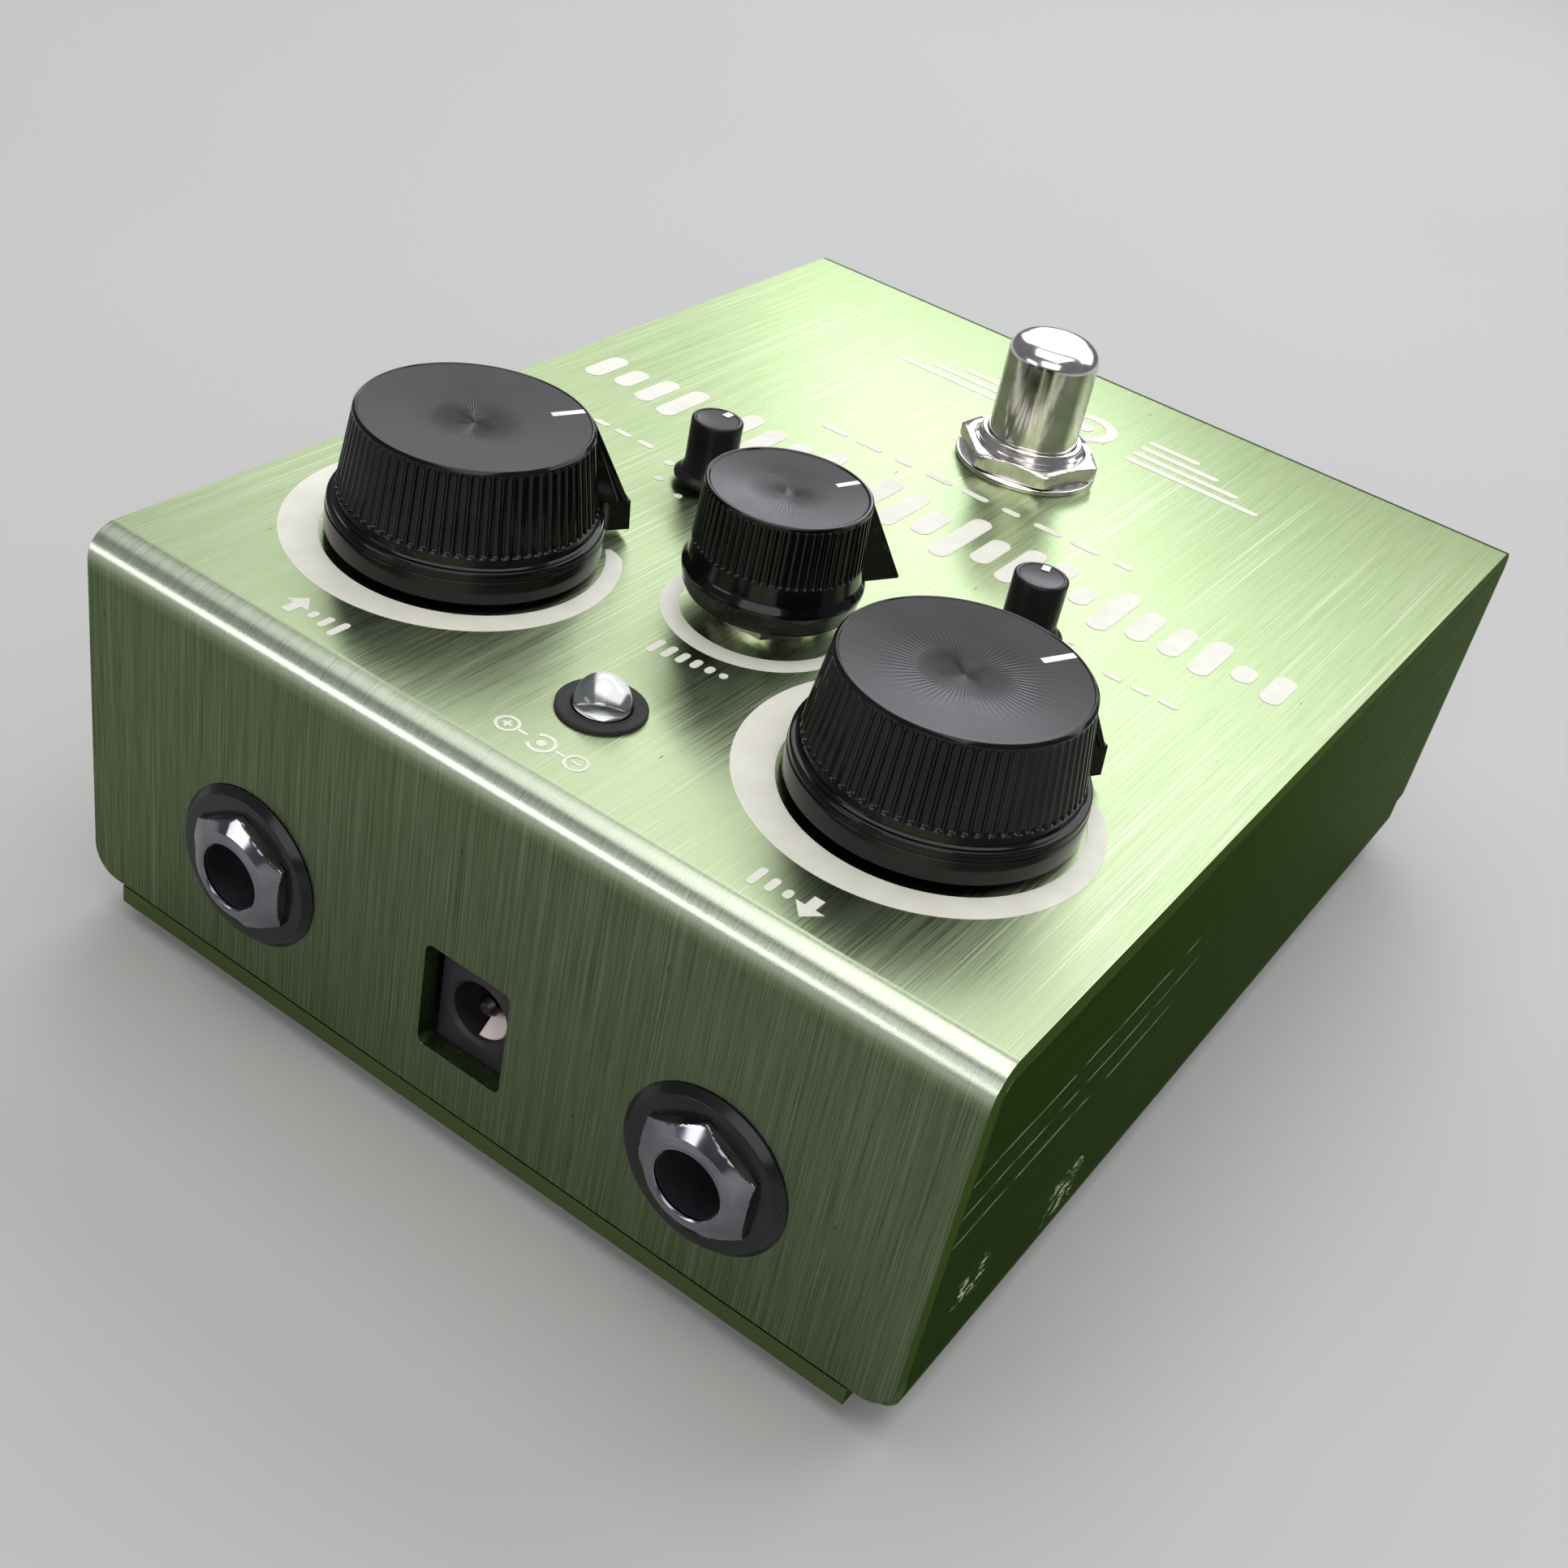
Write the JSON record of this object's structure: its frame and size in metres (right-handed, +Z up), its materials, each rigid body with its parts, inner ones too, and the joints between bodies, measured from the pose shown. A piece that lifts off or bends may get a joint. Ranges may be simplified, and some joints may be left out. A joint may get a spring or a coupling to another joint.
{
  "type": "guitar effects pedal",
  "caption": "Folded green aluminium effects pedal with large pointer knobs, a tone knob, small trim knobs, a lamp, a foot switch, rear jacks and a DC inlet.",
  "frame": {"origin": "on the surface that the pedal stands on, under the middle of the enclosure", "axes": "+Z up, +Y towards the rear wall with the jacks, -Y towards the player, +X towards the input jack"},
  "size_m": [0.096, 0.1246, 0.058],
  "materials": {
    "anodised_green": "brushed grain under a green anodised coat",
    "black_knob": "glossy sides, satin tops",
    "chrome": "polished plating",
    "plain_steel": "plain",
    "nickel_contact": "plated spring metal",
    "shaft_aluminium": "turned",
    "rubber": "matte",
    "black_washer": "moulded, satin",
    "black_housing": "moulded",
    "trim_white": "moulded",
    "clear_lens": "clear, polished",
    "circuit_board": "solder mask",
    "component_black": "moulded epoxy",
    "capacitor_sleeve": "shrunk sleeve",
    "film_capacitor": "dipped",
    "resistor_body": "lacquered",
    "ribbon_grey": "flexible"
  },
  "bodies": {
    "enclosure": {"cover": "anodised_green", "base_tray": "anodised_green", "rubber_feet": "rubber", "base_screws": "plain_steel", "corner_standoffs": "plain_steel", "main_board": "circuit_board", "jack_board": "circuit_board", "footswitch_board": "circuit_board", "board_header": "black_housing", "header_pins": "nickel_contact", "ribbon_cable": "ribbon_grey", "integrated_circuits": "component_black", "electrolytic_capacitors": "capacitor_sleeve", "film_capacitors": "film_capacitor", "resistors": "resistor_body", "diodes": "component_black", "pot_housings": "component_black", "pot_bushings": "plain_steel", "pot_terminals": "nickel_contact", "pot_washers": "chrome", "pot_nuts": "chrome", "trim_pot_housings": "component_black", "led_bezel": "rubber", "led_bezel_nut": "chrome", "status_led": "clear_lens", "led_leads": "nickel_contact", "footswitch_housing": "component_black", "footswitch_terminals": "nickel_contact", "footswitch_bushing": "chrome", "footswitch_inner_nut": "chrome", "footswitch_washer": "chrome", "footswitch_nut": "chrome", "footswitch_spring": "plain_steel", "jack_housings": "black_housing", "jack_contacts": "nickel_contact", "jack_washers": "black_washer", "jack_nuts": "chrome", "dc_socket": "black_housing", "dc_pin": "chrome", "dc_contact": "nickel_contact"},
    "gain_control": {"gain_knob": "black_knob", "gain_shaft": "shaft_aluminium"},
    "level_control": {"level_knob": "black_knob", "level_shaft": "shaft_aluminium"},
    "tone_control": {"tone_knob": "black_knob", "tone_shaft": "shaft_aluminium"},
    "left_trim_control": {"left_trim_knob": "black_knob", "left_trim_rotor": "trim_white"},
    "right_trim_control": {"right_trim_knob": "black_knob", "right_trim_rotor": "trim_white"},
    "footswitch_plunger": {"footswitch_button": "chrome"}
  },
  "joints": [
    {"name": "gain_turn", "type": "hinge", "parent": "enclosure", "child": "gain_control", "pos_m": [0.0264, 0.0353, 0.0432], "axis": [0, 0, 1], "range_deg": [-300, 0]},
    {"name": "level_turn", "type": "hinge", "parent": "enclosure", "child": "level_control", "pos_m": [-0.0264, 0.0353, 0.0432], "axis": [0, 0, 1], "range_deg": [-300, 0]},
    {"name": "tone_turn", "type": "hinge", "parent": "enclosure", "child": "tone_control", "pos_m": [0, 0.0228, 0.0432], "axis": [0, 0, 1], "range_deg": [-300, 0]},
    {"name": "left_trim_turn", "type": "hinge", "parent": "enclosure", "child": "left_trim_control", "pos_m": [-0.0192, 0.0063, 0.0432], "axis": [0, 0, 1], "range_deg": [-270, 0]},
    {"name": "right_trim_turn", "type": "hinge", "parent": "enclosure", "child": "right_trim_control", "pos_m": [0.0192, 0.0063, 0.0432], "axis": [0, 0, 1], "range_deg": [-270, 0]},
    {"name": "footswitch_press", "type": "slide", "parent": "enclosure", "child": "footswitch_plunger", "axis": [0, 0, -1], "range_m": [0, 0.0028], "stiffness_N_per_m": 3000, "springref_m": -0.001, "deforming": ["footswitch_spring"]}
  ]
}
